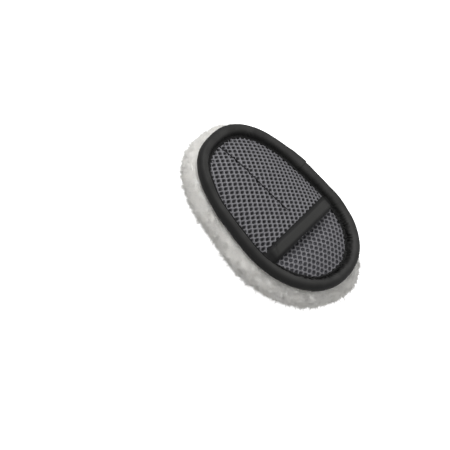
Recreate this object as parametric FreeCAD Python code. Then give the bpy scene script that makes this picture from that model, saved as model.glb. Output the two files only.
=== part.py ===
"""Oval car wash mitt: wool pile on the washing face, foam inside, an air-mesh back with a hand pocket.

Frame, in millimetres: +X runs along the mitt from the fingertips to the wrist, +Y across it, +Z up out
of the hand side. The origin is the centre of the oval on the plane the pile rests on.

Every outline is one egg-shaped superellipse, drawn in from the outer edge of the rim by an inset.
"""

import os

import FreeCAD
import Part
from math import cos, pi, sin

from FreeCAD import Vector

# Rim, measured over the outside of the binding tape.
RIM_LENGTH = 222.0
RIM_WIDTH = 148.0
RIM_POWER = 2.5
WRIST_FLARE = 0.085
OUTLINE_POINTS = 32

# Gap left between cloth layers that touch on the real mitt.
LAYER_GAP = 0.1

# The flat stack of cloth edges held in the fold of the binding.
STACK_INSET = 3.0
STACK_BOTTOM = 30.3
CLOTH_THICKNESS = 1.1
FOAM_EDGE_THICKNESS = 1.5
MESH_THICKNESS = 2.0
FOAM_EDGE_BOTTOM = STACK_BOTTOM + CLOTH_THICKNESS + LAYER_GAP
MESH_EDGE_BOTTOM = FOAM_EDGE_BOTTOM + FOAM_EDGE_THICKNESS + LAYER_GAP
STACK_TOP = MESH_EDGE_BOTTOM + MESH_THICKNESS

# Binding tape: a tall rolled edge that drops to a stitched valley and a flat flange.
TAPE_REACH = 17.0
TAPE_SLOT_INSET = STACK_INSET - 0.4
VALLEY_INSET = 13.4
NEEDLE_INSET = 14.2
ROLL_INSET = 6.2
ROLL_TOP = 44.0
ROLL_BOTTOM = 30.4
FLANGE_TOP = 36.3
FLANGE_BOTTOM = 28.8
VALLEY_DEPTH = 0.4
LAP_THICKNESS = 0.9
LAP_END_X = -14.0
LAP_LENGTH = 24.0
THREAD_WIDTH = 0.6
THREAD_HEIGHT = 0.45

# Wool pile and the knitted cloth it grows from.
PILE_BULGE = 12.5
PILE_BULGE_HEIGHT = 16.0
DISH_DEPTH = 14.0
DISH_MOUTH_INSET = TAPE_REACH + 0.4

# Crown of the base mesh, which swells into a cushion under the wrist.
CROWN_STEP = 0.8
PALM_CROWN = 1.5
WRIST_CROWN = 9.5
WRIST_RISE_START = 40.0
WRIST_RISE_END = 72.0
BASE_POWER = 4.0

# Hand pocket: a domed mesh panel, sewn down at the toe and sides and open towards the wrist.
POCKET_INSET = TAPE_REACH + 0.6
POCKET_EDGE_BOTTOM = STACK_TOP + 1.5
POCKET_RISE = 9.0
MOUTH_RISE = 12.5
MOUTH_RISE_START = -30.0
POCKET_POWER = 2.8

# Strap: a tape folded over the pocket's mouth.
STRAP_TOE_X = 27.5
STRAP_WRIST_X = 46.0
STRAP_THICKNESS = 1.2
STRAP_FOLD_MARGIN = 4.0
STRAP_STITCH_MARGIN = 2.0
STRAP_STITCH_WIDTH = 0.5

# Dart in the pocket panel, from its toe edge along a line beside the centre.
DART_END_X = 12.0
DART_Y = -3.0
DART_GAP = 0.4
DART_ALLOWANCE_WIDTH = 6.0
DART_ALLOWANCE_THICKNESS = 0.9
DART_THREAD_DEPTH = 0.5

# Box that is larger than the mitt, for cutting it by planes and surfaces.
REACH_X = 130.0
REACH_Y = 95.0
REACH_Z = 80.0
SURFACE_STEP = 13.0


def smooth_step(value, start, end):
    share = min(1.0, max(0.0, (value - start) / (end - start)))
    return share * share * (3.0 - 2.0 * share)


def outline(inset, z):
    """Closed wire of the rim's outline at height z, drawn in by inset, or out if inset is negative."""
    half_length = RIM_LENGTH / 2 - inset
    half_width = RIM_WIDTH / 2 - inset
    points = []
    for step in range(OUTLINE_POINTS):
        angle = 2 * pi * step / OUTLINE_POINTS
        total = abs(cos(angle)) ** RIM_POWER + abs(sin(angle)) ** RIM_POWER
        x = half_length * cos(angle) / total ** (1 / RIM_POWER)
        y = half_width * sin(angle) / total ** (1 / RIM_POWER)
        points.append(Vector(x, y * (1 + WRIST_FLARE * x / (RIM_LENGTH / 2)), z))
    curve = Part.BSplineCurve()
    curve.interpolate(points, PeriodicFlag=True)
    return Part.Wire(curve.toShape())


def rim_share(x, y, inset):
    """0 at the centre of the mitt and 1 on the outline at this inset."""
    half_length = RIM_LENGTH / 2 - inset
    half_width = (RIM_WIDTH / 2 - inset) * (1 + WRIST_FLARE * x / (RIM_LENGTH / 2))
    total = abs(x / half_length) ** RIM_POWER + abs(y / half_width) ** RIM_POWER
    return total ** (1 / RIM_POWER)


def slab(inset, bottom, top):
    return Part.Face(outline(inset, bottom)).extrude(Vector(0, 0, top - bottom))


def stack(sections):
    """Solid lofted through outlines, each given as (inset, height)."""
    return Part.makeLoft([outline(inset, z) for inset, z in sections], True, False)


def below(height):
    """Solid under the surface z = height(x, y), over the whole mitt."""
    columns = int(2 * REACH_X / SURFACE_STEP) + 1
    rows = int(2 * REACH_Y / SURFACE_STEP) + 1
    grid = []
    for column in range(columns):
        x = -REACH_X + column * SURFACE_STEP
        ys = [-REACH_Y + row * SURFACE_STEP for row in range(rows)]
        grid.append([Vector(x, y, height(x, y)) for y in ys])
    surface = Part.BSplineSurface()
    surface.interpolate(grid)
    return surface.toShape().extrude(Vector(0, 0, -REACH_Z))


def band(x_start, x_end, half_width=REACH_Y, y_centre=0.0):
    """Upright block above z = 0 between two planes across the mitt."""
    corner = Vector(x_start, y_centre - half_width, 0)
    return Part.makeBox(x_end - x_start, 2 * half_width, REACH_Z, corner)


def layer(height, thickness, inset):
    """Cloth of even thickness whose upper face follows height(x, y), cut to the outline at inset."""
    solid = slab(inset, 0, REACH_Z).common(below(height))
    return solid.cut(below(lambda x, y: height(x, y) - thickness))


def base_height(x, y):
    crown = PALM_CROWN
    crown += (WRIST_CROWN - PALM_CROWN) * smooth_step(x, WRIST_RISE_START, WRIST_RISE_END)
    return STACK_TOP + CROWN_STEP + crown * (1 - rim_share(x, y, TAPE_REACH) ** BASE_POWER)


def pocket_height(x, y):
    rise = POCKET_RISE
    rise += (MOUTH_RISE - POCKET_RISE) * smooth_step(x, MOUTH_RISE_START, STRAP_WRIST_X)
    edge_top = POCKET_EDGE_BOTTOM + MESH_THICKNESS
    return edge_top + rise * (1 - rim_share(x, y, POCKET_INSET) ** POCKET_POWER)


def dish(offset):
    """Solid that fills the hollow of the pile, raised by offset."""
    mouth = STACK_BOTTOM
    sections = [(DISH_MOUTH_INSET, mouth + 1.5), (DISH_MOUTH_INSET + 1.0, mouth - 0.6)]
    for drop, extra in ((0.2, 5.0), (0.45, 13.0), (0.7, 23.0), (0.88, 33.0), (1.0, 43.0)):
        sections.append((DISH_MOUTH_INSET + extra, mouth - drop * DISH_DEPTH))
    return stack([(inset, z + offset) for inset, z in sections])


def binding_envelope(grow):
    """The binding's outside as a filled solid, with its roll grown outwards by grow."""
    sections = [
        (TAPE_REACH, FLANGE_BOTTOM - grow),
        (VALLEY_INSET, FLANGE_BOTTOM + VALLEY_DEPTH - grow),
        (ROLL_INSET, ROLL_BOTTOM - grow),
        (2.0 - grow, ROLL_BOTTOM + 1.8 - grow),
        (0.0 - grow, ROLL_BOTTOM + 5.6),
        (0.2 - grow, ROLL_TOP - 4.8),
        (2.2 - grow, ROLL_TOP - 1.3 + grow),
        (ROLL_INSET, ROLL_TOP + grow),
        (9.8, ROLL_TOP - 2.0 + grow),
        (12.0, ROLL_TOP - 5.6 + grow),
        (VALLEY_INSET, FLANGE_TOP - VALLEY_DEPTH + grow),
        (15.2, FLANGE_TOP + grow),
        (TAPE_REACH, FLANGE_TOP + grow),
    ]
    return stack(sections)


def edge_binding():
    """Tape folded over the edge of every layer, with its cut end lapped over its start on the +Y side."""
    body = binding_envelope(0.0)
    lap = binding_envelope(LAP_THICKNESS).common(
        Part.makeBox(LAP_LENGTH, REACH_Y, REACH_Z, Vector(LAP_END_X - LAP_LENGTH, 0, 0))
    )
    body = body.fuse(lap)
    body = body.cut(slab(TAPE_REACH, 0, REACH_Z))
    slot = slab(TAPE_SLOT_INSET, STACK_BOTTOM - LAYER_GAP, STACK_TOP + LAYER_GAP)
    return body.cut(slot)


def ring(inset, width, bottom, top):
    return slab(inset - width / 2, bottom, top).cut(slab(inset + width / 2, bottom, top))


def binding_needle_thread():
    """The lockstitch's upper thread, drawn as one cord that lies in the valley of the tape."""
    bottom = FLANGE_TOP + LAP_THICKNESS + 2 * LAYER_GAP
    return ring(NEEDLE_INSET, THREAD_WIDTH, bottom, bottom + THREAD_HEIGHT)


def binding_bobbin_thread():
    """The lockstitch's lower thread, under the tape's lower flange."""
    top = FLANGE_BOTTOM + VALLEY_DEPTH - LAP_THICKNESS - 3 * LAYER_GAP
    return ring(VALLEY_INSET, THREAD_WIDTH, top - THREAD_HEIGHT, top)


def plush_pile():
    """Wool pile as a plump body: flat where it rests, widest near the middle, hollow for the foam."""
    under_roll = ROLL_BOTTOM + 3.4
    outside = stack(
        [
            (17.0, -0.8),
            (9.0, 0.4),
            (0.0, 3.0),
            (-8.0, 8.5),
            (-PILE_BULGE, PILE_BULGE_HEIGHT),
            (-PILE_BULGE + 1.0, PILE_BULGE_HEIGHT + 8.0),
            (-6.0, PILE_BULGE_HEIGHT + 15.0),
            (-0.5, under_roll),
        ]
    )
    clearance = LAP_THICKNESS + THREAD_HEIGHT + 9 * LAYER_GAP
    tape_room = binding_envelope(clearance)
    stack_room = slab(NEEDLE_INSET, FLANGE_BOTTOM - clearance, REACH_Z)
    rested = outside.common(band(-2 * REACH_X, 2 * REACH_X, 2 * REACH_Y))
    return rested.cut(tape_room).cut(stack_room).cut(dish(-LAYER_GAP))


def plush_ground_cloth():
    """Knitted cloth the pile grows from: a dish whose edge lies flat in the binding."""
    edge = slab(STACK_INSET, STACK_BOTTOM, STACK_BOTTOM + CLOTH_THICKNESS)
    cloth = edge.fuse(dish(0.0).common(slab(0, 0, STACK_BOTTOM + CLOTH_THICKNESS)))
    return cloth.cut(dish(CLOTH_THICKNESS))


def foam_pad():
    """Sponge that fills the dish and swells up under the base mesh, pinched thin at the rim."""
    edge_top = FOAM_EDGE_BOTTOM + FOAM_EDGE_THICKNESS
    edge = slab(STACK_INSET, FOAM_EDGE_BOTTOM, edge_top)
    filling = dish(CLOTH_THICKNESS + LAYER_GAP).common(slab(0, 0, edge_top))
    return edge.fuse(filling).fuse(foam_crown(LAYER_GAP))


def foam_crown(gap):
    """The part of the foam that swells above the rim, kept clear of the base mesh by gap."""
    wall = slab(TAPE_REACH + MESH_THICKNESS + LAYER_GAP + gap, FOAM_EDGE_BOTTOM + 0.5, REACH_Z)
    return wall.common(below(lambda x, y: base_height(x, y) - MESH_THICKNESS - gap))


def base_mesh():
    """Air mesh over the whole back: the floor of the pocket, and the open panel at the wrist."""
    edge = slab(STACK_INSET, MESH_EDGE_BOTTOM, STACK_TOP)
    crown = slab(TAPE_REACH + LAYER_GAP, MESH_EDGE_BOTTOM, REACH_Z).common(below(base_height))
    return edge.fuse(crown).cut(foam_crown(0.0))


def pocket_mesh():
    """Domed air-mesh panel over the hand, with a dart slit and its allowances pressed flat inside."""
    panel = layer(pocket_height, MESH_THICKNESS, POCKET_INSET)
    panel = panel.common(band(-REACH_X, STRAP_WRIST_X - STRAP_THICKNESS - LAYER_GAP))
    underside = lambda x, y: pocket_height(x, y) - MESH_THICKNESS
    allowance = layer(underside, DART_ALLOWANCE_THICKNESS, POCKET_INSET + 2.0)
    allowance = allowance.common(band(-REACH_X, DART_END_X, DART_ALLOWANCE_WIDTH, DART_Y))
    slit = band(-REACH_X, DART_END_X, DART_GAP / 2, DART_Y)
    return panel.fuse(allowance).cut(slit)


def dart_thread():
    """Thread drawn down into the dart's slit."""
    sunk = lambda x, y: pocket_height(x, y) - DART_THREAD_DEPTH
    thread = layer(sunk, THREAD_HEIGHT, POCKET_INSET)
    return thread.common(band(-REACH_X, DART_END_X - 1.0, DART_GAP / 2 - 0.05, DART_Y))


def hand_strap():
    """Tape folded over the pocket's mouth. The lower layer stops short of the base mesh at its ends."""
    top = lambda x, y: pocket_height(x, y) + LAYER_GAP + STRAP_THICKNESS
    under = lambda x, y: pocket_height(x, y) - MESH_THICKNESS - LAYER_GAP
    length = band(STRAP_TOE_X, STRAP_WRIST_X)
    fold = band(STRAP_WRIST_X - STRAP_THICKNESS, STRAP_WRIST_X)
    full_depth = MESH_THICKNESS + 2 * (STRAP_THICKNESS + LAYER_GAP)
    upper = layer(top, STRAP_THICKNESS, POCKET_INSET).common(length)
    lower = layer(under, STRAP_THICKNESS, POCKET_INSET + STRAP_FOLD_MARGIN).common(length)
    edge = layer(top, full_depth, POCKET_INSET + STRAP_FOLD_MARGIN).common(fold)
    return upper.fuse(lower).fuse(edge)


def strap_thread():
    """Two rows of stitching along the strap, each drawn as one cord."""
    strap_top = LAYER_GAP + STRAP_THICKNESS
    cord_top = lambda x, y: pocket_height(x, y) + strap_top + LAYER_GAP + THREAD_HEIGHT
    sheet = layer(cord_top, THREAD_HEIGHT, POCKET_INSET)
    rows = []
    for x in (STRAP_TOE_X + STRAP_STITCH_MARGIN, STRAP_WRIST_X - STRAP_STITCH_MARGIN):
        half = STRAP_STITCH_WIDTH / 2
        rows += sheet.common(band(x - half, x + half)).Solids
    return Part.makeCompound(rows)


PARTS = {
    "plush_pile": plush_pile,
    "plush_ground_cloth": plush_ground_cloth,
    "foam_pad": foam_pad,
    "base_mesh": base_mesh,
    "edge_binding": edge_binding,
    "binding_needle_thread": binding_needle_thread,
    "binding_bobbin_thread": binding_bobbin_thread,
    "pocket_mesh": pocket_mesh,
    "dart_thread": dart_thread,
    "hand_strap": hand_strap,
    "strap_thread": strap_thread,
}


def main():
    os.makedirs("parts", exist_ok=True)
    for name, make in PARTS.items():
        shape = make()
        solids = len(shape.Solids)
        print(f"{name}: {solids} solid(s), valid {shape.isValid()}, {shape.Volume / 1000:.2f} cm3")
        shape.exportStep(f"parts/{name}.step")


main()
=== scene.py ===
"""Looks for the oval wash mitt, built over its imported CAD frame.

Shapes are worked out in millimetres, in the frame's own axes (+X to the wrist, +Y across, +Z out of the
hand side), and turned into metres by new_object(). Everything random is seeded.
"""

import math

import bmesh
import bpy
import numpy as np
from mathutils import Matrix, Vector


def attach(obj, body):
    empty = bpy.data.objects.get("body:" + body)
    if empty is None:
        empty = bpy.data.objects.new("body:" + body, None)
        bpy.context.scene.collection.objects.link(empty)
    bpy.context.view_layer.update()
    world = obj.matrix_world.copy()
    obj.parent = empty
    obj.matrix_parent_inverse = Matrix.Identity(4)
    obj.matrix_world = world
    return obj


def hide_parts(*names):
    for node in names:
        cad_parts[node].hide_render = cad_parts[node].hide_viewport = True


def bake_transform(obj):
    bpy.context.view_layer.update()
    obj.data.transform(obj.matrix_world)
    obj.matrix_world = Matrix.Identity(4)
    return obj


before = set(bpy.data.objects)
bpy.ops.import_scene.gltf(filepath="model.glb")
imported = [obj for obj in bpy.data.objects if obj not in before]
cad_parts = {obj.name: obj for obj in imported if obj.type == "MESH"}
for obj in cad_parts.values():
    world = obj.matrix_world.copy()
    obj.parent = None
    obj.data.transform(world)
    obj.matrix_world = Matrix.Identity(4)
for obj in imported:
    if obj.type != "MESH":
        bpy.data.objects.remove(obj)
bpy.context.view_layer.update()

MM = 0.001
BASE = "mitt_base"

# Plan of the rim: an egg-shaped superellipse, measured over the binding.
HALF_LENGTH = 111.0
HALF_WIDTH = 74.0
RIM_POWER = 2.5
WRIST_FLARE = 0.085

# How the sewn rim strays outward, and how much further than usual the pile bulges. Each stray is given as
# its size, its middle and its width, the last two as angles round the rim.
RIM_STRAYS = ((2.3, 0.1, 0.35), (-2.2, -0.7, 0.25), (2.2, -1.38, 0.3), (-1.0, 1.7, 0.6))
BULGE_STRAYS = ((0.78, 0.12, 0.4), (0.32, -1.42, 0.24), (-0.4, 1.3, 0.8))

# Heights of the layers.
RIM_MIDDLE = 38.0
UNDER_FLANGE = 35.6
BASE_EDGE_TOP = 35.0
TUCK_INSET = 13.0
PANEL_INSET = 15.0
PANEL_END_X = 97.0

# The binding's lapped end, on the far side: where the tape is cut, and how much higher it lies.
LAP_X = -14.0
LAP_HEIGHT = 1.15

# Hollow of the pile, and how far the cloth and sponge in it reach.
DISH_RIM = 31.2
DISH_DEPTH = 14.0
INNER_INSET = 4.0
INNER_END_X = 106.0

# Crown of the base mesh, palm end and wrist end.
PALM_CROWN = 2.3
WRIST_CROWN = 10.4

# Dome of the pocket panel.
TOE_RISE = 12.0
MOUTH_RISE = 15.4
POCKET_POWER = 2.8
MOUTH_X = 45.0

# Dart seam in the pocket panel.
DART_Y = -3.0
DART_END_X = 12.0
DART_HALF_GAP = 0.4

# Strap over the pocket's mouth.
STRAP_TOE_X = 27.5
STRAP_WRIST_X = 44.6
STRAP_THICKNESS = 1.3
# The toe seam's cord is thick and near-black so that it also draws the line of shade along the strap's toe
# edge: painted shade in part.
STRAP_SEAMS = (("strap_seam_toe", STRAP_TOE_X + 0.2, 0.85), ("strap_seam_mouth", STRAP_WRIST_X - 1.4, 0.5))
STRAP_SEAM_END_Y = 54.0
MESH_THICKNESS = 2.0

# Knitted mesh: the steps between neighbouring holes, and each hole's half-widths.
POCKET_STEPS = ((3.78, 4.38), (4.21, -2.82))
WRIST_STEPS = ((4.71, 3.24), (4.52, -3.91))
POCKET_HOLE = (1.58, 1.96)
WRIST_HOLE = (1.85, 2.1)

# Wool pile: how far its stuffing swells it, and how many tufts it has.
SWELL = 2.2
TUFTS_PER_PIECE = 12000
PILE_PIECES = 5
TUFT_LENGTH = (2.4, 3.9)
TUFT_RADIUS = (0.3, 0.46)
LONG_TUFTS = 0.11
LONG_TUFT_STRETCH = (1.3, 2.0)

# Cloth simulation that swells the pile.
VOXEL_SIZE = 5.0
STUFFING_PRESSURE = 4.0
STUFFING_FRAMES = 20

# Camera: metres, degrees and, for the lens, millimetres.
CAMERA_DISTANCE = 2.0
CAMERA_ELEVATION = 53.6
CAMERA_ROLL = 46.95
CAMERA_LENS = 140.7
LOOK_LEFT = 0.0605
LOOK_DOWN = 0.022

# Lights: the key's place and width in metres and its watts, and the air's strength, low and overhead.
KEY_PLACE = (-0.75, 0.1, 1.1)
KEY_WIDTH = 1.0
KEY_WATTS = 11.3
AIR_LOW = 0.7
AIR_HIGH = 0.92


# ---------------------------------------------------------------- plan and heights


def smooth_step(value):
    value = np.clip(value, 0.0, 1.0)
    return value * value * (3.0 - 2.0 * value)


def bell(value):
    return np.exp(-value * value)


def unit(vectors):
    """Rows of vectors, each scaled to a length of one."""
    return vectors / np.linalg.norm(vectors, axis=1)[:, None]


def crosswise(ways):
    """Unit ways, with the unit vectors to the side of each and out of the cloth."""
    ways = unit(ways)
    side = unit(np.cross(ways, np.array([0.0, 0.0, 1.0])))
    return ways, side, np.cross(side, ways)


def strayed(angle, strays):
    """Sum of the strays at an angle round the rim."""
    turn = (angle + np.pi) % (2.0 * np.pi) - np.pi
    return sum(size * bell((turn - middle) / width) for size, middle, width in strays)


def rim_xy(angle, inset):
    """Points on the rim's outline, drawn in by inset."""
    inset = inset - strayed(angle, RIM_STRAYS)
    total = np.abs(np.cos(angle)) ** RIM_POWER + np.abs(np.sin(angle)) ** RIM_POWER
    size = total ** (-1.0 / RIM_POWER)
    x = (HALF_LENGTH - inset) * np.cos(angle) * size
    y = (HALF_WIDTH - inset) * np.sin(angle) * size
    return x, y * (1.0 + WRIST_FLARE * x / HALF_LENGTH)


def even_angles(count):
    """Angles whose points are evenly spaced along the rim, and the rim's length."""
    dense = np.linspace(0.0, 2.0 * np.pi, 8001)
    x, y = rim_xy(dense, 0.0)
    length = np.concatenate([[0.0], np.cumsum(np.hypot(np.diff(x), np.diff(y)))])
    wanted = np.arange(count) * length[-1] / count
    return np.interp(wanted, length, dense), length[-1]


def rim_share(x, y, inset):
    """0 at the centre of the mitt and 1 on the outline at this inset."""
    flare = 1.0 + WRIST_FLARE * x / HALF_LENGTH
    inset = inset - strayed(np.arctan2(y / (HALF_WIDTH * flare), x / HALF_LENGTH), RIM_STRAYS)
    along = np.abs(x / (HALF_LENGTH - inset))
    across = np.abs(y / ((HALF_WIDTH - inset) * flare))
    return (along**RIM_POWER + across**RIM_POWER) ** (1.0 / RIM_POWER)


def half_width_at(x, inset):
    """Half the width of the even outline at x."""
    along = np.clip(np.abs(x / (HALF_LENGTH - inset)), 0.0, 1.0)
    width = (HALF_WIDTH - inset) * (1.0 - along**RIM_POWER) ** (1.0 / RIM_POWER)
    return width * (1.0 + WRIST_FLARE * x / HALF_LENGTH)


def base_top(x, y):
    """Upper face of the base mesh: flat over the palm and swollen at the wrist."""
    crown = PALM_CROWN + (WRIST_CROWN - PALM_CROWN) * smooth_step((x - 40.0) / 32.0)
    share = np.minimum(rim_share(x, y, PANEL_INSET), 1.0)
    return BASE_EDGE_TOP + crown * (1.0 - share**3.4)


def dart_line(x):
    return DART_Y + 0.5 * np.sin(x / 17.0)


def dart_strength(x):
    """1 along the dart, fading out at its end."""
    return smooth_step((DART_END_X - x) / 9.0)


def pocket_top(x, y):
    """Upper face of the pocket panel: a dome pulled down along the dart."""
    rise = TOE_RISE + (MOUTH_RISE - TOE_RISE) * smooth_step((x + 30.0) / 76.0)
    share = np.minimum(rim_share(x, y, PANEL_INSET), 1.0)
    groove = 0.7 * bell((y - dart_line(x)) / 2.4) * dart_strength(x)
    dome = 1.0 - share**POCKET_POWER
    return UNDER_FLANGE + rise * dome - groove * np.minimum(1.0, 3.0 * dome)


def ripple(points, wavelength, seed):
    """Smooth random field over 3-D points, about -1 to 1, with features of this wavelength."""
    waves = 24
    rng = np.random.default_rng(seed)
    ways = unit(rng.normal(size=(waves, 3)))
    ways *= 2.0 * np.pi / wavelength * rng.uniform(0.7, 1.4, (waves, 1))
    phases = rng.uniform(0.0, 2.0 * np.pi, waves)
    flat = points.reshape(-1, 3)
    field = np.cos(flat @ ways.T + phases).sum(axis=1) / math.sqrt(waves)
    return field.reshape(points.shape[:-1])


# ---------------------------------------------------------------- meshes


def new_object(name, points, faces, material, uv=None):
    """Mesh object from points in millimetres; uv, also in millimetres, has one pair for each point."""
    mesh = bpy.data.meshes.new(name)
    mesh.from_pydata((points.reshape(-1, 3) * MM).tolist(), [], faces)
    if uv is not None:
        corners = np.empty(len(mesh.loops), dtype=np.int32)
        mesh.loops.foreach_get("vertex_index", corners)
        layer = mesh.uv_layers.new(name="cloth")
        layer.data.foreach_set("uv", (uv.reshape(-1, 2)[corners] * MM).ravel())
    mesh.shade_smooth()
    mesh.materials.append(material)
    piece = bpy.data.objects.new(name, mesh)
    bpy.context.scene.collection.objects.link(piece)
    return piece


def grid_faces(rows, columns, wrap_rows=False, wrap_columns=False):
    """Quads over a grid of points, joined end to end where it wraps."""
    row = np.arange(rows if wrap_rows else rows - 1)[:, None]
    column = np.arange(columns if wrap_columns else columns - 1)[None, :]
    next_row = (row + 1) % rows
    next_column = (column + 1) % columns
    corners = [
        row * columns + column,
        next_row * columns + column,
        next_row * columns + next_column,
        row * columns + next_column,
    ]
    return np.stack(corners, axis=-1).reshape(-1, 4).tolist()


def tube_faces(rows, columns):
    """Quads over a closed band of points, with a cap at each end."""
    faces = grid_faces(rows, columns, wrap_columns=True)
    faces.append(list(range(columns)))
    faces.append([(rows - 1) * columns + i for i in reversed(range(columns))])
    return faces


def weld(piece, distance):
    """Merge points that lie within distance millimetres and drop faces that collapse."""
    work = bmesh.new()
    work.from_mesh(piece.data)
    bmesh.ops.remove_doubles(work, verts=work.verts, dist=distance * MM)
    bmesh.ops.dissolve_degenerate(work, edges=work.edges, dist=0.5 * distance * MM)
    work.to_mesh(piece.data)
    work.free()


def fix_to_base(piece, node=None):
    """Let the piece ride on the mitt, and stand for its CAD node if it has one."""
    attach(piece, BASE)
    if node is not None:
        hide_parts(node)


def closed_sheet(name, xs, inset, top, bottom, rows, material):
    """Closed panel between top(x, y) and bottom(x, y), from edge to edge across the mitt."""
    across = np.linspace(-1.0, 1.0, rows)
    x = np.repeat(xs[:, None], rows, axis=1)
    y = half_width_at(x, inset) * across[None, :]
    upper = np.stack([x, y, top(x, y)], axis=-1)
    lower = np.stack([x, y, bottom(x, y)], axis=-1)
    loop = np.concatenate([upper, lower[:, ::-1]], axis=1)
    return new_object(name, loop, tube_faces(*loop.shape[:2]), material, loop[..., :2])


# ---------------------------------------------------------------- materials


class Recipe:
    """One node material, with short ways to add and join its nodes."""

    def __init__(self, name, colour, roughness, gloss=0.5):
        self.material = bpy.data.materials.new(name)
        self.material.use_nodes = True
        self.tree = self.material.node_tree
        self.shader = self.tree.nodes["Principled BSDF"]
        self.shader.inputs["Base Color"].default_value = (*colour, 1.0)
        self.shader.inputs["Roughness"].default_value = roughness
        self.shader.inputs["Specular IOR Level"].default_value = gloss
        self.bump_end = None

    def node(self, kind, **inputs):
        node = self.tree.nodes.new(kind)
        for label, value in inputs.items():
            node.inputs[label.replace("_", " ")].default_value = value
        return node

    def join(self, output, target):
        self.tree.links.new(output, target)

    def place(self, kind="Object"):
        return self.node("ShaderNodeTexCoord").outputs[kind]

    def noise(self, where, scale, detail=3.0):
        noise = self.node("ShaderNodeTexNoise", Scale=scale, Detail=detail)
        self.join(where, noise.inputs["Vector"])
        return noise.outputs["Fac"]

    def wave(self, where, scale, direction):
        wave = self.node("ShaderNodeTexWave", Scale=scale)
        wave.bands_direction = direction
        self.join(where, wave.inputs["Vector"])
        return wave.outputs["Fac"]

    def along(self, where, axis):
        split = self.node("ShaderNodeSeparateXYZ")
        self.join(where, split.inputs[0])
        return split.outputs[axis]

    def math(self, operation, a, b):
        node = self.node("ShaderNodeMath")
        node.operation = operation
        for value, target in ((a, node.inputs[0]), (b, node.inputs[1])):
            if isinstance(value, (int, float)):
                target.default_value = value
            else:
                self.join(value, target)
        return node.outputs[0]

    def ramp(self, factor, stops):
        """Colour between stops, each given as (position, colour)."""
        ramp = self.node("ShaderNodeValToRGB")
        elements = ramp.color_ramp.elements
        while len(elements) < len(stops):
            elements.new(0.5)
        for element, (position, colour) in zip(elements, stops):
            element.position = position
            element.color = (*colour, 1.0)
        self.join(factor, ramp.inputs["Fac"])
        return ramp.outputs["Color"]

    def colour(self, factor, stops):
        self.join(self.ramp(factor, stops), self.shader.inputs["Base Color"])

    def bump(self, height, strength, distance):
        """Add a bump on top of any already there; distance is in millimetres."""
        bump = self.node("ShaderNodeBump", Strength=strength, Distance=distance * MM)
        self.join(height, bump.inputs["Height"])
        if self.bump_end is not None:
            self.join(self.bump_end, bump.inputs["Normal"])
        self.bump_end = bump.outputs["Normal"]
        self.join(self.bump_end, self.shader.inputs["Normal"])

    def mix(self, factor, first, second):
        mix = self.node("ShaderNodeMixShader")
        if isinstance(factor, float):
            mix.inputs[0].default_value = factor
        else:
            self.join(factor, mix.inputs[0])
        self.join(first.outputs[0], mix.inputs[1])
        self.join(second.outputs[0], mix.inputs[2])
        return mix

    def finish(self, shader):
        self.join(shader.outputs[0], self.tree.nodes["Material Output"].inputs["Surface"])

    def sheen(self, weight):
        self.shader.inputs["Sheen Weight"].default_value = weight
        self.shader.inputs["Sheen Roughness"].default_value = 0.4


def grey(level):
    return (level, level, level)


def wool_material():
    """Off-white wool, a little warmer in some locks; its thin locks cast only faint shadows."""
    recipe = Recipe("wool", (0.86, 0.85, 0.83), 0.95)
    locks = recipe.noise(recipe.place(), 60.0)
    stops = [(0.3, (0.93, 0.918, 0.88)), (0.55, (0.955, 0.945, 0.917)), (0.75, (0.97, 0.963, 0.943))]
    recipe.colour(locks, stops)
    recipe.sheen(0.25)
    glow = recipe.node("ShaderNodeBsdfTranslucent", Color=(0.96, 0.945, 0.91, 1.0))
    wool = recipe.mix(0.35, recipe.shader, glow)
    in_shadow = recipe.node("ShaderNodeLightPath").outputs["Is Shadow Ray"]
    thin = recipe.math("MULTIPLY", in_shadow, 0.82)
    recipe.finish(recipe.mix(thin, wool, recipe.node("ShaderNodeBsdfTransparent")))
    return recipe.material


def wool_root_material():
    """The dense felted roots between the tufts."""
    recipe = Recipe("wool_roots", (0.86, 0.855, 0.83), 1.0)
    where = recipe.place()
    stops = [(0.35, (0.82, 0.815, 0.79)), (0.7, (0.88, 0.875, 0.855))]
    recipe.colour(recipe.noise(where, 260.0), stops)
    recipe.bump(recipe.noise(where, 900.0, 6.0), 0.5, 0.5)
    return recipe.material


def binding_material():
    """Woven tape with painted light: lighter along the crest of its fold as a painted highlight, near-black
    in the valley and on the outer side as painted shade; UV runs along it, then round the fold.
    """
    recipe = Recipe("binding_tape", grey(0.03), 0.6, 0.22)
    cloth = recipe.place("UV")
    round_fold = recipe.math("MULTIPLY", recipe.along(cloth, "Y"), 0.025 / MM)
    # Painted highlight on the fold's crest and painted shade in the valley and on the outer side, mottled
    # at random.
    stops = [(0.08, 0.0), (0.25, 0.25), (0.36, 1.0), (0.44, 0.85), (0.56, 0.25), (0.7, 0.0)]
    painted_crest_light = recipe.ramp(round_fold, [(place, grey(level)) for place, level in stops])
    mottled_painted_crest_light = recipe.math("MULTIPLY", painted_crest_light, recipe.noise(recipe.place(), 55.0))
    recipe.colour(mottled_painted_crest_light, [(0.0, grey(0.002)), (0.6, (0.031, 0.0305, 0.0295))])
    weft = recipe.wave(cloth, 1.0 / (0.45 * MM) / 20.0, "X")
    warp = recipe.wave(cloth, 1.0 / (0.315 * MM) / 20.0, "Y")
    recipe.bump(recipe.math("MULTIPLY", weft, warp), 0.45, 0.12)
    recipe.bump(recipe.noise(recipe.place(), 400.0, 4.0), 0.25, 0.1)
    recipe.sheen(0.03)
    return recipe.material


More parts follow.
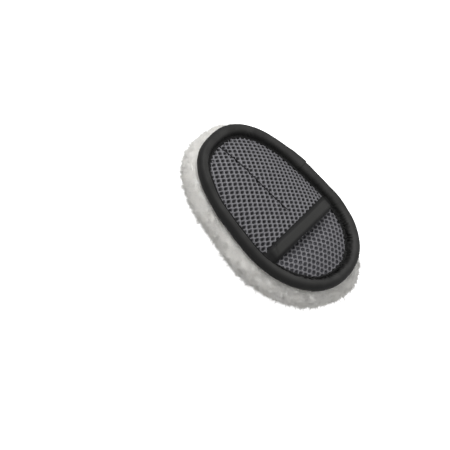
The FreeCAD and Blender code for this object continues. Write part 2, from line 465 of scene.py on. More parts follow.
def yarn_material(name, dark, light):
    """Knitted synthetic yarn: fine loops, painted lighter along the crests of the strands as a highlight
    and darker down their sides towards the holes as painted shade, mottled at random.
    """
    recipe = Recipe(name, light, 0.55)
    where = recipe.place()
    # Painted shade deepening down each strand's side, from its crest to its hole.
    painted_shade_depth = recipe.math("MULTIPLY", recipe.along(recipe.place("UV"), "X"), 0.5 / MM)
    mottle_and_painted_light = recipe.math("SUBTRACT", recipe.noise(where, 700.0, 5.0), painted_shade_depth)
    recipe.colour(mottle_and_painted_light, [(0.12, dark), (0.55, light)])
    loops = recipe.wave(where, 85.0, "DIAGONAL")
    loops_back = recipe.wave(where, 70.0, "X")
    recipe.bump(recipe.math("MULTIPLY", loops, loops_back), 0.5, 0.18)
    recipe.bump(recipe.noise(where, 2200.0, 4.0), 0.5, 0.1)
    recipe.sheen(0.3)
    return recipe.material


def lining_material(name, dark, light):
    """Back face of the spacer mesh, with its monofilament stubble."""
    recipe = Recipe(name, dark, 0.9)
    where = recipe.place()
    cells = recipe.node("ShaderNodeTexVoronoi", Scale=420.0)
    recipe.join(where, cells.inputs["Vector"])
    recipe.colour(cells.outputs["Distance"], [(0.1, light), (0.6, dark)])
    recipe.bump(cells.outputs["Distance"], 0.6, 0.3)
    return recipe.material


def foam_material():
    """Open-cell sponge."""
    recipe = Recipe("sponge", (0.5, 0.5, 0.47), 0.95)
    cells = recipe.node("ShaderNodeTexVoronoi", Scale=800.0)
    recipe.join(recipe.place(), cells.inputs["Vector"])
    recipe.colour(cells.outputs["Distance"], [(0.1, (0.25, 0.25, 0.23)), (0.6, (0.58, 0.57, 0.53))])
    recipe.bump(cells.outputs["Distance"], 1.0, 0.6)
    return recipe.material


def thread_material():
    """Black sewing thread with its twist."""
    recipe = Recipe("sewing_thread", grey(0.006), 0.7, 0.2)
    where = recipe.place()
    recipe.colour(recipe.noise(where, 500.0), [(0.3, grey(0.003)), (0.7, (0.012, 0.012, 0.013))])
    recipe.bump(recipe.wave(where, 260.0, "DIAGONAL"), 0.6, 0.08)
    return recipe.material


def floor_material():
    """Pale studio paper: lit up for the camera, softly glowing for the mitt, and clear from underneath."""
    recipe = Recipe("studio_paper", grey(0.35), 0.9)
    recipe.bump(recipe.noise(recipe.place(), 300.0), 0.05, 0.05)
    recipe.shader.inputs["Emission Color"].default_value = (1.0, 1.0, 1.0, 1.0)
    recipe.shader.inputs["Emission Strength"].default_value = 0.38
    lit = recipe.node("ShaderNodeBsdfDiffuse", Color=(0.9, 0.9, 0.9, 1.0))
    glow = recipe.node("ShaderNodeEmission", Strength=0.72)
    bright = recipe.node("ShaderNodeAddShader")
    recipe.join(lit.outputs[0], bright.inputs[0])
    recipe.join(glow.outputs[0], bright.inputs[1])
    seen = recipe.mix(recipe.node("ShaderNodeLightPath").outputs["Is Camera Ray"], recipe.shader, bright)
    side = recipe.node("ShaderNodeNewGeometry").outputs["Backfacing"]
    recipe.finish(recipe.mix(side, seen, recipe.node("ShaderNodeBsdfTransparent")))
    return recipe.material


# ---------------------------------------------------------------- wool pile


def pile_profile():
    """The pile's side from under the binding, over the bulge and in to the flat face: (inset, z)."""
    corners = [
        (10.0, 28.6),
        (5.0, 29.4),
        (1.2, 30.6),
        (-2.2, 30.4),
        (-5.6, 27.4),
        (-8.6, 21.6),
        (-9.6, 15.0),
        (-8.2, 9.0),
        (-4.2, 4.8),
        (2.0, 2.4),
        (10.0, 1.3),
        (22.0, 1.0),
        (38.0, 1.0),
        (56.0, 1.0),
        (70.0, 1.0),
    ]
    return smooth_line(np.array(corners), 5)


def smooth_line(corners, per_span):
    """Catmull-Rom curve through the corners."""
    padded = np.vstack([2 * corners[0] - corners[1], corners, 2 * corners[-1] - corners[-2]])
    shares = np.arange(per_span) / per_span
    spans = []
    for i in range(1, len(padded) - 2):
        before, start, end, after = padded[i - 1 : i + 3]
        t = shares[:, None]
        spans.append(
            0.5
            * (
                2 * start
                + (end - before) * t
                + (2 * before - 5 * start + 4 * end - after) * t**2
                + (3 * start - before - 3 * end + after) * t**3
            )
        )
    spans.append(corners[-1:])
    return np.vstack(spans)


def pile_body(material):
    """Felted body of the pile: a stuffed form that is flat where it rests, with soft lumps."""
    profile = pile_profile()
    angles, _ = even_angles(360)
    inset, z = profile[:, 0], profile[:, 1]
    reach = 1.0 + strayed(angles[:, None], BULGE_STRAYS)
    x, y = rim_xy(angles[:, None], inset * np.where(inset < 0.0, reach, 1.0) + SWELL)
    points = np.stack([x, y, np.broadcast_to(z, x.shape)], axis=-1)
    rows, columns = x.shape
    faces = grid_faces(rows, columns, wrap_rows=True)
    faces.append([i * columns for i in range(rows)])
    faces.append([i * columns + columns - 1 for i in reversed(range(rows))])
    piece = new_object("pile_body", points, faces, material)
    stuff(piece)
    add_lumps(piece)
    return piece


def read_points(mesh):
    points = np.empty(3 * len(mesh.vertices))
    mesh.vertices.foreach_get("co", points)
    return points.reshape(-1, 3) / MM


def write_points(mesh, points):
    mesh.vertices.foreach_set("co", (points * MM).ravel())
    mesh.update()


def apply_modifiers(piece):
    bpy.context.view_layer.update()
    done = bpy.data.meshes.new_from_object(piece.evaluated_get(bpy.context.evaluated_depsgraph_get()))
    piece.modifiers.clear()
    piece.data = done


def stuff(piece):
    """Swell the closed piece like stuffed cloth, no point by more than one and a half times SWELL."""
    remesh = piece.modifiers.new("remesh", "REMESH")
    remesh.mode = "VOXEL"
    remesh.voxel_size = VOXEL_SIZE * MM
    apply_modifiers(piece)
    before = read_points(piece.data)
    cloth = piece.modifiers.new("cloth", "CLOTH")
    cloth.settings.use_pressure = True
    cloth.settings.uniform_pressure_force = STUFFING_PRESSURE
    cloth.settings.effector_weights.gravity = 0.0
    cloth.point_cache.frame_end = STUFFING_FRAMES
    for step in range(1, STUFFING_FRAMES + 1):
        bpy.context.scene.frame_set(step)
    apply_modifiers(piece)
    bpy.context.scene.frame_set(1)
    move = read_points(piece.data) - before
    length = np.linalg.norm(move, axis=1)[:, None]
    move *= np.minimum(1.0, 1.5 * SWELL / np.maximum(length, 1e-6))
    held = smooth_step((before[:, 2] - 2.0) / 8.0)[:, None]
    write_points(piece.data, before + move * held)
    finer = piece.modifiers.new("finer", "SUBSURF")
    finer.levels = 1
    apply_modifiers(piece)


def add_lumps(piece):
    """Push the sides of the pile out and in by soft lumps."""
    points = read_points(piece.data)
    lumps = 0.6 * ripple(points, 19.0, 11) + 0.22 * ripple(points, 8.0, 12)
    away = points * np.array([1.0, 1.0, 0.0])
    away /= np.maximum(np.linalg.norm(away, axis=1), 1e-6)[:, None]
    side = smooth_step((rim_share(points[:, 0], points[:, 1], 0.0) - 0.93) / 0.1)
    write_points(piece.data, points + away * (lumps * side)[:, None])
    piece.data.shade_smooth()


def surface_samples(piece, count, seed, keep):
    """Random points on a mesh with their normals, in millimetres, evenly spread over its area."""
    mesh = piece.data
    mesh.calc_loop_triangles()
    corners = np.empty(3 * len(mesh.loop_triangles), dtype=np.int32)
    mesh.loop_triangles.foreach_get("vertices", corners)
    corners = corners.reshape(-1, 3)
    points = read_points(mesh)
    normals = np.empty(3 * len(mesh.vertices))
    mesh.vertex_normals.foreach_get("vector", normals)
    normals = normals.reshape(-1, 3)
    a, b, c = (points[corners[:, i]] for i in range(3))
    area = np.linalg.norm(np.cross(b - a, c - a), axis=1)
    area *= keep((a + b + c) / 3.0)
    rng = np.random.default_rng(seed)
    chosen = rng.choice(len(area), size=count, p=area / area.sum())
    weights = rng.dirichlet((1.0, 1.0, 1.0), size=count)[:, :, None]
    where = (points[corners[chosen]] * weights).sum(axis=1)
    normal = (normals[corners[chosen]] * weights).sum(axis=1)
    return where, unit(normal)


def tuft_density(centres):
    """Fewer tufts on the flat face, none where the binding covers the body."""
    covered = rim_share(centres[:, 0], centres[:, 1], 2.0) < 1.0
    hidden = covered & (centres[:, 2] > 30.0)
    flat = centres[:, 2] < 1.6
    return np.where(hidden, 0.0, np.where(flat, 0.55, 1.0))


def tufts(name, roots, normals, seed, material):
    """Tapered, bent locks of wool, each a three-sided spike, shaded with the surface they grow from."""
    count = len(roots)
    rng = np.random.default_rng(seed)
    swirl = np.stack([ripple(roots, 12.0, 30 + i) for i in range(3)], axis=-1)
    stray = rng.normal(size=(count, 3))
    way = normals + 0.4 * swirl + 0.26 * stray + np.array([0.0, 0.0, -0.15])
    resting = smooth_step((3.0 - roots[:, 2]) / 2.0)[:, None]
    lying = (0.55 * stray + 0.9 * swirl) * resting * np.array([1.0, 1.0, 0.12])
    way = unit(way * (1.0 - resting) + lying)
    length = rng.uniform(*TUFT_LENGTH, count) * (1.0 + 0.3 * ripple(roots, 7.0, 40))
    is_long = rng.random(count) < LONG_TUFTS
    length = np.where(is_long, rng.uniform(*LONG_TUFT_STRETCH, count) * length, length)
    bend = 0.3 * rng.normal(size=(count, 3)) * length[:, None]
    side = unit(np.cross(way, stray))
    other = np.cross(way, side)
    radius = rng.uniform(*TUFT_RADIUS, count)
    rings = []
    shading = []
    for share, width in ((-0.12, 1.0), (0.35, 0.85), (0.72, 0.5)):
        middle = roots + way * (share * length)[:, None] + bend * share * abs(share)
        for turn in (0.0, 2.0 * math.pi / 3.0, 4.0 * math.pi / 3.0):
            offset = math.cos(turn) * side + math.sin(turn) * other
            rings.append(middle + offset * (width * radius)[:, None])
            shading.append(normals + 0.2 * offset)
    rings.append(roots + way * length[:, None] + bend)
    shading.append(normals + 0.2 * way)
    points = np.stack(rings, axis=1)
    floor = 0.25 + 0.35 * rng.random(count)
    points[..., 2] = np.maximum(points[..., 2], floor[:, None])
    quads = [[r + i, r + (i + 1) % 3, r + 3 + (i + 1) % 3, r + 3 + i] for r in (0, 3) for i in range(3)]
    ends = [[6 + i, 6 + (i + 1) % 3, 9] for i in range(3)] + [[2, 1, 0]]
    start = (np.arange(count) * 10)[:, None, None]
    faces = (np.array(quads)[None] + start).reshape(-1, 4).tolist()
    faces += (np.array(ends)[None] + start).reshape(-1, 3).tolist()
    piece = new_object(name, points, faces, material)
    shading = unit(np.stack(shading, axis=1).reshape(-1, 3))
    piece.data.normals_split_custom_set_from_vertices(shading.tolist())
    return piece


def wool_pile():
    wool = wool_material()
    body = pile_body(wool_root_material())
    count = TUFTS_PER_PIECE * PILE_PIECES
    roots, normals = surface_samples(body, count, 5, tuft_density)
    order = np.argsort(np.arctan2(roots[:, 1], roots[:, 0]), kind="stable")
    pieces = [body]
    for number, share in enumerate(np.array_split(order, PILE_PIECES), start=1):
        pieces.append(tufts(f"wool_tufts_{number}", roots[share], normals[share], 60 + number, wool))
    for piece in pieces:
        fix_to_base(piece)
    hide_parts("plush_pile")


# ---------------------------------------------------------------- binding


def binding_section():
    """Outside of the folded tape from its upper inner edge round to its lower one: (inset, z)."""
    corners = [
        (16.6, 35.8),
        (16.1, 36.3),
        (15.2, 36.5),
        (14.2, 36.1),
        (13.4, 36.0),
        (12.8, 36.9),
        (12.0, 39.0),
        (11.0, 41.0),
        (9.6, 42.6),
        (7.8, 43.7),
        (5.8, 44.1),
        (3.8, 43.6),
        (1.8, 42.0),
        (0.5, 39.8),
        (0.0, 37.2),
        (0.4, 34.4),
        (1.6, 32.2),
        (3.6, 30.8),
        (6.2, 30.2),
        (9.0, 30.0),
        (13.0, 29.4),
        (17.0, 29.3),
    ]
    return smooth_line(np.array(corners), 3)


def section_normals(section):
    """Unit normals of a section, pointing away from the cloth stack."""
    along = np.gradient(section, axis=0)
    normal = unit(np.stack([along[:, 1], -along[:, 0]], axis=1))
    away = section - np.array([9.0, 35.0])
    return normal * np.sign((normal * away).sum(axis=1))[:, None]


def lap_height(x, y):
    """Extra height where the tape's end lies over its start, with a sharp cut edge."""
    cut = smooth_step((LAP_X - x) / 0.8)
    ease = smooth_step((x - LAP_X + 30.0) / 12.0)
    return np.where(y > 0.0, LAP_HEIGHT * cut * ease, 0.0)


def binding_relief(x, y, inset, along):
    """How far the tape stands out of its smooth shape: slack, puckers at the seam, and the lap."""
    points = np.stack([x, y, np.broadcast_to(inset, x.shape)], axis=-1)
    slack = 0.3 * ripple(points, 38.0, 71) + 0.07 * ripple(points, 12.0, 72)
    at_seam = bell((inset - 12.6) / 2.4)
    wrist = smooth_step((x - 35.0) / 40.0)
    pitch = 2.0 * np.pi * along / 6.4 + 7.0 * ripple(points, 20.0, 73)
    pucker = (0.12 + 0.5 * wrist) * np.sin(pitch) * at_seam * (1.0 + 0.8 * ripple(points, 11.0, 75))
    rough = 0.3 * ripple(points, 5.0, 74) * (0.4 + wrist) + 0.45 * ripple(points, 3.2, 76) * wrist
    pucker += rough * bell((inset - 14.5) / 3.0)
    return slack + pucker + lap_height(x, y)


def binding_tape():
    """The folded tape as one closed band: outer skin, then back through the slot for the cloth edges."""
    section = binding_section()
    normal = section_normals(section)
    angles, length = even_angles(900)
    along = np.arange(len(angles))[:, None] * length / len(angles)
    inset = np.broadcast_to(section[:, 0], (len(angles), len(section)))
    x, y = rim_xy(angles[:, None], inset)
    relief = binding_relief(x, y, inset, along)
    inset = inset + relief * normal[:, 0]
    z = section[:, 1] + relief * normal[:, 1]
    x, y = rim_xy(angles[:, None], inset)
    skin = np.stack([x, y, z], axis=-1)
    slot = [(17.0, 30.2), (10.0, 30.2), (3.2, 30.3), (3.0, 32.7), (3.2, 35.1), (10.0, 35.2), (17.0, 35.5)]
    inner = []
    for slot_inset, slot_z in slot:
        slot_x, slot_y = rim_xy(angles, slot_inset)
        inner.append(np.stack([slot_x, slot_y, np.full_like(slot_x, slot_z)], axis=-1))
    loop = np.concatenate([skin, np.stack(inner, axis=1)], axis=1)
    rows, columns = loop.shape[:2]
    faces = grid_faces(rows, columns, wrap_rows=True, wrap_columns=True)
    run = np.cumsum(np.linalg.norm(np.diff(loop[0], axis=0, prepend=loop[:1, 0]), axis=1))
    uv = np.stack([np.broadcast_to(along, (rows, columns)), np.broadcast_to(run, (rows, columns))], axis=-1)
    piece = new_object("binding_tape", loop, faces, binding_material(), uv)
    fix_to_base(piece, "edge_binding")


def stitches(name, middles, ways, length, radius, material):
    """Short cords, each a spindle lying along its way."""
    sides = 8
    shares = np.array([-0.5, -0.42, -0.2, 0.2, 0.42, 0.5])
    widths = np.array([0.25, 0.8, 1.0, 1.0, 0.8, 0.25])
    ways, side, up = crosswise(ways)
    turn = 2.0 * np.pi * np.arange(sides) / sides
    circle = np.cos(turn)[:, None, None] * side + np.sin(turn)[:, None, None] * up
    sag = -0.35 * (2.0 * shares) ** 4
    points = (
        middles[None, None]
        + ways[None, None] * (shares * length)[:, None, None, None]
        + circle[None] * (widths * radius)[:, None, None, None]
        + np.array([0.0, 0.0, 1.0]) * sag[:, None, None, None]
    )
    points = points.transpose(2, 0, 1, 3)
    one = tube_faces(len(shares), sides)
    faces = []
    for number in range(len(middles)):
        start = number * len(shares) * sides
        faces += [[start + corner for corner in face] for face in one]
    return new_object(name, points, faces, material)


def rim_stitches(name, inset, z, node, thread):
    """A row of stitches round the rim."""
    count = 168
    angles, length = even_angles(count)
    x, y = rim_xy(angles, inset)
    ahead_x, ahead_y = rim_xy(angles + 0.01, inset)
    lift = lap_height(x, y) if z > RIM_MIDDLE else 0.0 * x
    middles = np.stack([x, y, z + lift], axis=-1)
    ways = np.stack([ahead_x - x, ahead_y - y, 0.0 * x], axis=-1)
    piece = stitches(name, middles, ways, 0.72 * length / count, 0.34, thread)
    fix_to_base(piece, node)


# ---------------------------------------------------------------- air mesh


def cell_outline(steps):
    """Hexagon round a hole: the places nearer to it than to any other hole."""
    per_side = 3
    a, b = np.array(steps[0]), np.array(steps[1])
    around = [a, b, a - b, -a, -b, b - a]
    around.sort(key=lambda step: math.atan2(step[1], step[0]))
    corners = []
    for i in range(6):
        pair = np.array([around[i], around[(i + 1) % 6]])
        corners.append(np.linalg.solve(pair, (pair**2).sum(axis=1) / 2.0))
    outline = []
    for i in range(6):
        for k in range(per_side):
            outline.append(corners[i] + (corners[(i + 1) % 6] - corners[i]) * k / per_side)
    return np.array(outline)


def cell_centres(steps, inset, x_limits):
    """Centres of the cells whose middle lies inside the outline at inset."""
    a, b = np.array(steps[0]), np.array(steps[1])
    reach = np.arange(-60, 61)
    i, j = (side.ravel()[:, None] for side in np.meshgrid(reach, reach))
    centres = i * a + j * b
    inside = (centres[:, 0] > x_limits[0]) & (centres[:, 0] < x_limits[1])
    centres = centres[inside]
    return centres[rim_share(centres[:, 0], centres[:, 1], inset) < 1.0]


def tuck(plan, inset):
    """Pull points that lie outside the outline back onto it."""
    share = rim_share(plan[..., 0], plan[..., 1], inset)
    return plan / np.maximum(share, 1.0)[..., None]


def dart_pinch(plan, centres):
    """Stop each side's cells at the dart, and slide the far side's cells towards the wrist."""
    x, y = plan[..., 0], plan[..., 1]
    far = (centres[:, 1] > dart_line(centres[:, 0]))[:, None, None]
    x = np.where(far, x + 2.4 * smooth_step((DART_END_X - x) / 70.0), x)
    gap = DART_HALF_GAP * dart_strength(x)
    line = dart_line(x)
    stopped = np.where(far, np.maximum(y, line + gap), np.minimum(y, line - gap))
    y = np.where(x < DART_END_X, stopped, y)
    return np.stack([x, y], axis=-1)


def air_mesh(name, steps, hole_half, centres, hole_sizes, shape_plan, top, material):
    """Knitted spacer mesh as rounded strands round open holes, one cell per hole."""
    outline = cell_outline(steps)
    turn = np.arctan2(outline[:, 1], outline[:, 0])
    hole = np.stack([hole_half[0] * np.cos(turn), hole_half[1] * np.sin(turn)], axis=-1)
    holes = hole * hole_sizes[:, None, None, None]
    shares = np.array([0.0, 0.3, 0.56, 0.79, 0.94, 1.0, 0.97])
    drops = np.array([0.0, 0.06, 0.2, 0.42, 0.68, 1.0, 1.95])
    rings = outline + (holes - outline) * shares[:, None, None]
    plan = shape_plan(centres[:, None, None, :] + rings, centres)
    z = top(plan[..., 0], plan[..., 1]) - drops[:, None]
    points = np.concatenate([plan, z[..., None]], axis=-1)
    # UV X runs from 0 on a strand's crest to 1 at its hole; the yarn colour darkens along it as painted
    # shade.
    painted_shade_depth = np.stack([np.broadcast_to(shares[:, None], z.shape), np.zeros_like(z)], axis=-1)
    count = len(outline)
    one = np.array(grid_faces(len(shares), count, wrap_columns=True))[:, ::-1]
    start = (np.arange(len(centres)) * len(shares) * count)[:, None, None]
    faces = (one[None] + start).reshape(-1, 4).tolist()
    piece = new_object(name, points, faces, material, painted_shade_depth)
    weld(piece, 0.02)
    return piece


def base_panel():
    yarn = yarn_material("mesh_yarn_base", (0.05, 0.049, 0.055), (0.172, 0.168, 0.182))
    centres = cell_centres(WRIST_STEPS, TUCK_INSET + 1.0, (-100.0, 100.0))
    even = np.ones(len(centres))

    def shape_plan(plan, _):
        return tuck(plan, TUCK_INSET)

    piece = air_mesh("base_mesh_panel", WRIST_STEPS, WRIST_HOLE, centres, even, shape_plan, base_top, yarn)
    back = lining_material("mesh_back_base", (0.033, 0.033, 0.039), (0.08, 0.08, 0.09))
    lining = closed_sheet(
        "base_mesh_back",
        np.linspace(-PANEL_END_X, PANEL_END_X, 80),
        TUCK_INSET,
        lambda x, y: base_top(x, y) - 1.9,
        lambda x, y: base_top(x, y) - 2.4,
        60,
        back,
    )
    fix_to_base(piece, "base_mesh")
    fix_to_base(lining)


def lift_share(points):
    """How much of the pocket's lift each point takes: none at the sewn edge, all at mid-mouth."""
    share = np.minimum(rim_share(points[:, 0], points[:, 1], PANEL_INSET + 0.5), 1.0)
    return (1.0 - share**2.6) ** 0.85


def fix_to_pocket(piece, node=None):
    """Stand for the piece's CAD node if it has one, bake its placement into its points and work out each
    point's share of the pocket's lift, which is not used.
    """
    if node is not None:
        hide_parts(node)
    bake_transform(piece)
    share = lift_share(read_points(piece.data))


def pocket_panel():
    yarn = yarn_material("mesh_yarn_pocket", (0.048, 0.047, 0.053), (0.168, 0.165, 0.178))
    centres = cell_centres(POCKET_STEPS, TUCK_INSET + 1.0, (-100.0, MOUTH_X - 3.0))
    from_dart = np.abs(centres[:, 1] - dart_line(centres[:, 0])) / 2.4
    sizes = np.where(centres[:, 0] < DART_END_X, np.clip(from_dart, 0.3, 1.0), 1.0)

    def shape_plan(plan, middles):
        pinched = dart_pinch(plan, middles)
        pinched[..., 0] = np.minimum(pinched[..., 0], MOUTH_X)
        return tuck(pinched, TUCK_INSET)

    piece = air_mesh(
        "pocket_mesh_panel", POCKET_STEPS, POCKET_HOLE, centres, sizes, shape_plan, pocket_top, yarn
    )
    # The pocket's back gets far darker colours than the base's: painted shade for the hollow of the pocket
    # behind it.
    back = lining_material("mesh_back_pocket_shaded", (0.006, 0.006, 0.007), (0.02, 0.02, 0.022))
    lining = closed_sheet(
        "pocket_mesh_back",
        np.linspace(-PANEL_END_X, MOUTH_X, 80),
        TUCK_INSET,
        lambda x, y: pocket_top(x, y) - 1.9,
        lambda x, y: pocket_top(x, y) - 2.3,
        60,
        back,
    )
    fix_to_pocket(piece, "pocket_mesh")
    fix_to_pocket(lining)


def cord(name, path, radius, pitch, material):
    """Continuous round seam thread along a path, slightly nipped once in every stitch."""
    sides = 8
    _, side, up = crosswise(np.gradient(path, axis=0))
    steps = np.linalg.norm(np.diff(path, axis=0, prepend=path[:1]), axis=1)
    nip = 1.0 - 0.15 * bell(((np.cumsum(steps) / pitch) % 1.0 - 0.5) / 0.16)
    nip[0] = nip[-1] = 0.3
    turn = 2.0 * np.pi * np.arange(sides) / sides
    circle = np.cos(turn)[None, :, None] * side[:, None] + np.sin(turn)[None, :, None] * up[:, None]
    points = path[:, None] + circle * (radius * nip)[:, None, None]
    return new_object(name, points, tube_faces(len(path), sides), material)


def dart_seam(thread):
    # The near-black cord stands for the dart's thread and also for the seam's fold in shade: painted shade
    # in part.
    x = np.arange(-93.0, DART_END_X - 1.0, 0.4)
    y = dart_line(x)
    path = np.stack([x, y, pocket_top(x, y) + 0.25], axis=-1)
    piece = cord("dart_seam", path, 0.48, 3.0, thread)
    fix_to_pocket(piece, "dart_thread")


# ---------------------------------------------------------------- strap


def strap_top(x, y):
    """Upper face of the strap: pulled a little flatter than the panel it is folded over."""
    middle = 0.5 * (STRAP_TOE_X + STRAP_WRIST_X)
    held = pocket_top(0.35 * x + 0.65 * middle, y)
    span = (x - middle) / (0.5 * (STRAP_WRIST_X - STRAP_TOE_X))
    roll_off = 1.7 * smooth_step((np.abs(span) - 0.45) / 0.55)
    points = np.stack([x, y, 0.0 * x], axis=-1)
    slack = 0.12 * ripple(points, 17.0, 91)
    crease = 1.5 * bell((y + 49.0 + 0.5 * (x - middle)) / 0.9)
    tuck_in = 0.7 * smooth_step((np.abs(y) - 51.0) / 5.0)
    return held + STRAP_THICKNESS + 0.9 - np.minimum(roll_off + crease + tuck_in, 1.9) + slack


def strap_section():
    """Tape folded over the mouth's edge, as (x, depth): upper layer, rounded fold and lower layer."""
    depth = MESH_THICKNESS + 2.0 * STRAP_THICKNESS + 0.6
    radius = 0.5 * depth
    inner_radius = radius - STRAP_THICKNESS
    centre_x = STRAP_WRIST_X - radius
    turn = np.linspace(0.5 * np.pi, -0.5 * np.pi, 9)

    def arc(size, turns):
        return [(centre_x + size * math.cos(t), size * math.sin(t) - radius) for t in turns]

    section = [(STRAP_TOE_X, -0.9), (STRAP_TOE_X + 0.1, -0.3), (STRAP_TOE_X + 0.6, 0.0)]
    section += [(x, 0.0) for x in np.linspace(STRAP_TOE_X + 1.4, centre_x, 12)]
    section += arc(radius, turn[1:])
    section += [(x, -depth) for x in np.linspace(centre_x - 2.0, STRAP_TOE_X + 3.0, 7)]
    section += [(x, STRAP_THICKNESS - depth) for x in np.linspace(STRAP_TOE_X + 3.0, centre_x, 7)]
    section += arc(inner_radius, turn[-2::-1])
    section += [(x, -STRAP_THICKNESS) for x in np.linspace(centre_x - 2.0, STRAP_TOE_X + 0.6, 7)]
    return np.array(section)


def strap_material():
    """Smooth tape, painted darker along its edges and at its ends as painted shade, where it meets the mesh
    and runs under the binding; UV runs along it, then across.
    """
    recipe = Recipe("strap_tape", grey(0.02), 0.65, 0.22)
    black = grey(0.0)
    white = grey(1.0)
    cloth = recipe.place("UV")
    across = recipe.math("MULTIPLY", recipe.along(cloth, "Y"), 0.05 / MM)
    uneven = recipe.math("MULTIPLY", recipe.noise(recipe.place(), 90.0), 0.05)
    # Painted shade along both edges of the tape, a little uneven.
    stops = [(0.19, black), (0.29, white), (0.67, white), (0.8, black)]
    face = recipe.ramp(recipe.math("ADD", across, uneven), stops)
    # Painted shade at both ends, where the tape runs under the binding.
    reach = recipe.math("ABSOLUTE", recipe.along(cloth, "X"), 0.0)
    middle = recipe.ramp(recipe.math("MULTIPLY", reach, 0.015 / MM), [(0.765, white), (0.83, black)])
    lit = recipe.math("MULTIPLY", face, middle)
    recipe.colour(lit, [(0.0, grey(0.004)), (1.0, (0.0225, 0.0225, 0.0216))])
    recipe.bump(recipe.wave(cloth, 1.0 / (0.6 * MM) / 20.0, "X"), 0.4, 0.1)
    recipe.bump(recipe.noise(recipe.place(), 400.0, 4.0), 0.25, 0.1)
    recipe.sheen(0.08)
    return recipe.material


def hand_strap():
    tape = strap_material()
    section = strap_section()
    rows = 161
    across = np.linspace(-1.0, 1.0, rows)
    x = np.broadcast_to(section[:, 0], (rows, len(section)))
    y = half_width_at(x, TUCK_INSET - 1.0) * across[:, None]
    z = strap_top(x, y) + section[:, 1]
    z = np.maximum(z, base_top(x, y) + 0.25)
    loop = np.stack([x, y, z], axis=-1)
    faces = [face[::-1] for face in tube_faces(rows, len(section))]
    run = np.cumsum(np.hypot(*np.diff(section, axis=0, prepend=section[:1]).T))
    uv = np.stack([y, np.broadcast_to(run, y.shape)], axis=-1)
    piece = new_object("strap_tape", loop, faces, tape, uv)
    fix_to_pocket(piece, "hand_strap")


def strap_seams(thread):
    """Bound seams along the strap's two edges; the thick toe seam also draws the strap's dark toe edge
    line, which is painted shade in part.
    """
    for name, x, radius in STRAP_SEAMS:
        y = np.arange(-STRAP_SEAM_END_Y, STRAP_SEAM_END_Y + 0.1, 0.4)
        level = np.full_like(y, x)
        path = np.stack([level, y, strap_top(level, y) - 0.35], axis=-1)
        piece = cord(name, path, radius, 2.6, thread)
        fix_to_pocket(piece, "strap_thread")


# ---------------------------------------------------------------- inside


def dish(x, y):
    """Hollow of the pile, which the sponge fills."""
    share = np.minimum(rim_share(x, y, 17.4), 1.0)
    return DISH_RIM - DISH_DEPTH * (1.0 - share**2.0)


def sponge_bottom(x, y):
    """Underside of the sponge, uneven where it rests on the cloth."""
    level = dish(x, y) + 0.3
    return level + 0.2 * ripple(np.stack([x, y, level], axis=-1), 9.0, 95)


def inner_layers():
    """The knitted cloth under the pile, and the sponge between it and the base mesh."""
    knit = lining_material("ground_cloth", (0.42, 0.41, 0.38), (0.6, 0.59, 0.55))
    xs = np.linspace(-INNER_END_X, INNER_END_X, 60)
    cloth = closed_sheet("ground_cloth", xs, INNER_INSET, dish, lambda x, y: dish(x, y) - 0.9, 48, knit)
    fix_to_base(cloth, "plush_ground_cloth")

    def sponge_top(x, y):
        return base_top(x, y) - 2.6

    sponge = closed_sheet("sponge_core", xs, INNER_INSET, sponge_top, sponge_bottom, 48, foam_material())
    fix_to_base(sponge, "foam_pad")


# ---------------------------------------------------------------- studio


def studio():
    """Pale floor, one wide soft light and soft air all round."""
    size = 3.0
    mesh = bpy.data.meshes.new("studio_floor")
    corners = [(-size, -size, 0.0), (size, -size, 0.0), (size, size, 0.0), (-size, size, 0.0)]
    mesh.from_pydata(corners, [], [(0, 1, 2, 3)])
    mesh.materials.append(floor_material())
    floor = bpy.data.objects.new("studio_floor", mesh)
    bpy.context.scene.collection.objects.link(floor)
    key_light()
    studio_air()
    bpy.context.scene.view_settings.view_transform = "Standard"


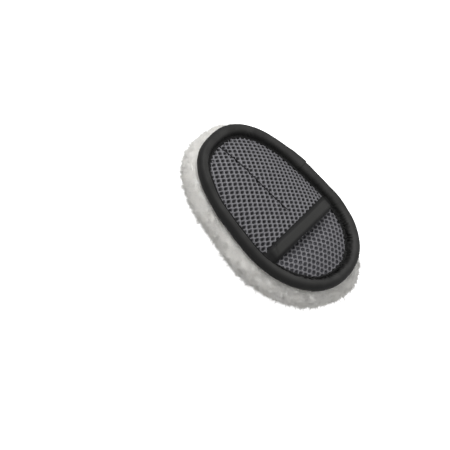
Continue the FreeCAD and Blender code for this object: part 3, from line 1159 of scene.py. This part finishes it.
def studio_air():
    """Soft light from all round, stronger from overhead, seen by the camera as plain white."""
    world = bpy.data.worlds.new("studio_air")
    world.use_nodes = True
    nodes = world.node_tree.nodes
    links = world.node_tree.links
    split = nodes.new("ShaderNodeSeparateXYZ")
    links.new(nodes.new("ShaderNodeTexCoord").outputs["Generated"], split.inputs[0])
    level = nodes.new("ShaderNodeMapRange")
    level.inputs["From Min"].default_value = 0.0
    level.inputs["From Max"].default_value = 0.9
    level.inputs["To Min"].default_value = AIR_LOW
    level.inputs["To Max"].default_value = AIR_HIGH
    links.new(split.outputs["Z"], level.inputs["Value"])
    seen = nodes.new("ShaderNodeMath")
    seen.operation = "MAXIMUM"
    links.new(level.outputs["Result"], seen.inputs[0])
    links.new(nodes.new("ShaderNodeLightPath").outputs["Is Camera Ray"], seen.inputs[1])
    links.new(seen.outputs[0], nodes["Background"].inputs["Strength"])
    nodes["Background"].inputs["Color"].default_value = (1.0, 1.0, 1.0, 1.0)
    bpy.context.scene.world = world


def key_light():
    """Wide soft light above the toe end."""
    place = Vector(KEY_PLACE)
    data = bpy.data.lights.new("key", "AREA")
    data.shape = "DISK"
    data.size = KEY_WIDTH
    data.energy = KEY_WATTS
    light = bpy.data.objects.new("key", data)
    light.location = place
    light.rotation_euler = (-place).to_track_quat("-Z", "Y").to_euler()
    bpy.context.scene.collection.objects.link(light)


def camera():
    """Camera on the near side, well above the mitt and rolled so that the wrist points down and right."""
    elevation = math.radians(CAMERA_ELEVATION)
    roll = math.radians(CAMERA_ROLL)
    back = Vector((0.0, -math.cos(elevation), math.sin(elevation)))
    level = Vector((1.0, 0.0, 0.0))
    rise = back.cross(level)
    right = level * math.cos(roll) + rise * math.sin(roll)
    up = rise * math.cos(roll) - level * math.sin(roll)
    target = Vector((0.0, 0.0, RIM_MIDDLE * MM)) - right * LOOK_LEFT - up * LOOK_DOWN
    data = bpy.data.cameras.new("camera")
    data.sensor_width = 36.0
    data.lens = CAMERA_LENS
    eye = bpy.data.objects.new("camera", data)
    turn = Matrix((right, up, back)).transposed()
    eye.matrix_world = Matrix.Translation(target + back * CAMERA_DISTANCE) @ turn.to_4x4()
    bpy.context.scene.collection.objects.link(eye)
    bpy.context.scene.camera = eye


def main():
    thread = thread_material()
    wool_pile()
    binding_tape()
    rim_stitches("binding_needle_stitches", 14.2, 36.9, "binding_needle_thread", thread)
    rim_stitches("binding_bobbin_stitches", 13.4, 29.0, "binding_bobbin_thread", thread)
    base_panel()
    pocket_panel()
    dart_seam(thread)
    hand_strap()
    strap_seams(thread)
    inner_layers()
    studio()
    camera()
    bpy.context.view_layer.update()


main()
